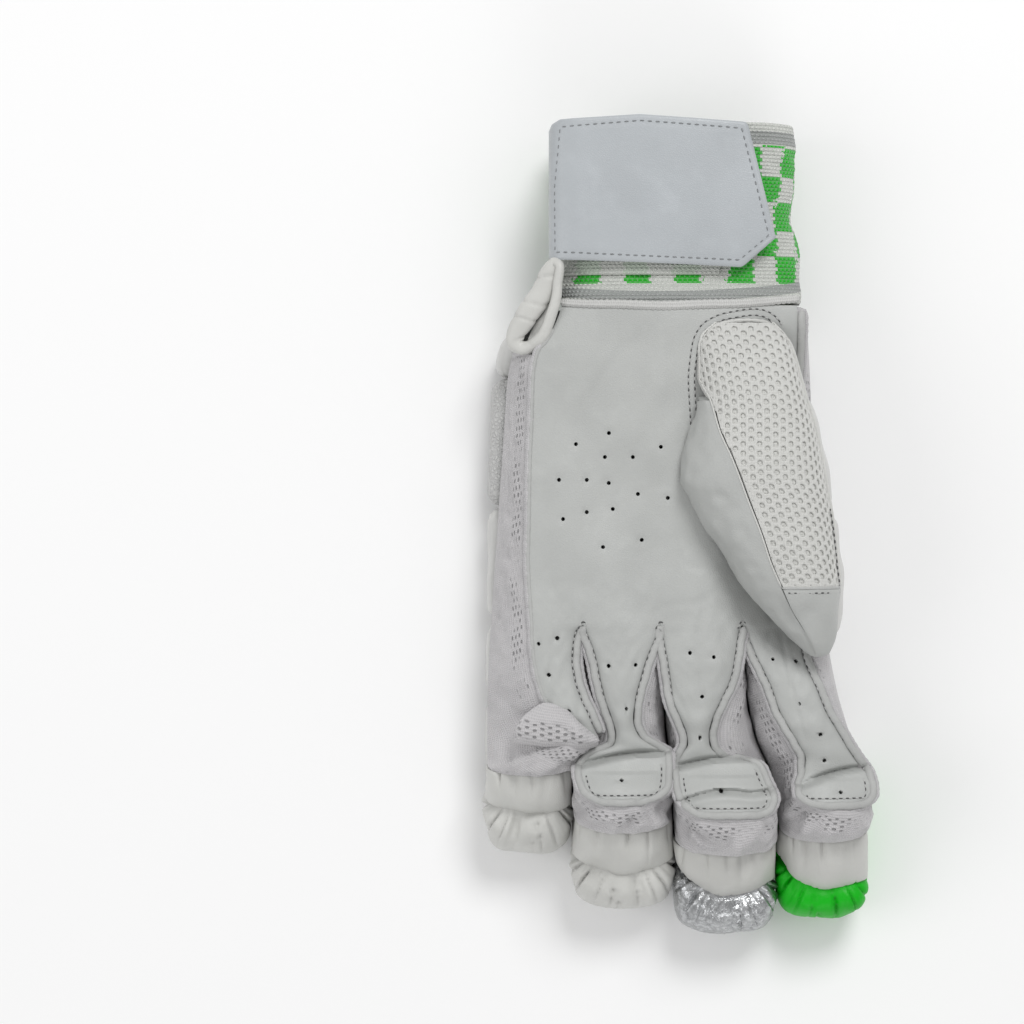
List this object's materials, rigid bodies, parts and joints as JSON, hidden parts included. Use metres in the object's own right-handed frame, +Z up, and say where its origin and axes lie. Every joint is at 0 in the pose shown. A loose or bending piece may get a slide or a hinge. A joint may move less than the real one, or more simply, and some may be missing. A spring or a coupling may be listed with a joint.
{
  "type": "cricket batting glove",
  "caption": "Left-hand cricket batting glove lying palm up: leather palm, padded back and fingertips, mesh thumb, knitted checked wristband and closing strap.",
  "frame": {"origin": "bottom centre of the bounding box, on the surface that the padded back rests on", "axes": "+Y from fingertips to wrist, +X to the thumb side, +Z up out of the palm"},
  "size_m": [0.1376, 0.2944, 0.0682],
  "materials": {
    "palm_leather": "smooth, soft, light grey",
    "knit": "fine stretch knit with rows of small eyelets",
    "smooth_band": "smooth white synthetic leather",
    "pad_white": "smooth white synthetic leather over foam",
    "pad_silver": "crinkled metallic silver synthetic leather over foam",
    "pad_green": "smooth bright green synthetic leather over foam",
    "back_cloth": "plain backing cloth",
    "mesh_cloth": "off-white spacer mesh with small round holes",
    "cuff_knit": "elastic knit, green and white check",
    "strap_leather": "smooth cool grey synthetic leather, stitched edge",
    "tape": "pale closing tape",
    "binding": "rolled white leather binding"
  },
  "bodies": {
    "root": {"palm_leather": "palm_leather", "back_panel": "back_cloth", "little_gusset": "knit", "little_tip_band": "smooth_band", "ring_gusset": "knit", "ring_tip_band": "smooth_band", "middle_gusset": "knit", "middle_tip_band": "smooth_band", "index_gusset": "knit", "index_tip_band": "smooth_band", "little_tip_roll": "pad_white", "little_base_pad": "pad_white", "little_middle_pad": "pad_white", "little_wrist_hand_pad": "pad_white", "little_mid_hand_pad": "pad_white", "little_knuckle_hand_pad": "pad_white", "ring_tip_roll": "pad_white", "ring_base_pad": "pad_white", "ring_middle_pad": "pad_white", "ring_wrist_hand_pad": "pad_white", "ring_mid_hand_pad": "pad_white", "ring_knuckle_hand_pad": "pad_white", "middle_tip_roll": "pad_silver", "middle_base_pad": "pad_white", "middle_middle_pad": "pad_white", "middle_wrist_hand_pad": "pad_white", "middle_mid_hand_pad": "pad_white", "middle_knuckle_hand_pad": "pad_white", "index_tip_roll": "pad_green", "index_base_pad": "pad_white", "index_middle_pad": "pad_white", "index_wrist_hand_pad": "pad_white", "index_mid_hand_pad": "pad_white", "index_knuckle_hand_pad": "pad_white", "thumb_mesh": "mesh_cloth", "thumb_tip": "palm_leather", "thumb_leather": "palm_leather", "thumb_wrist_pad": "pad_white", "thumb_tip_pad": "pad_white", "wristband": "cuff_knit", "wrist_strap": "strap_leather", "closing_tape": "tape", "vent_binding": "binding"}
  },
  "joints": []
}
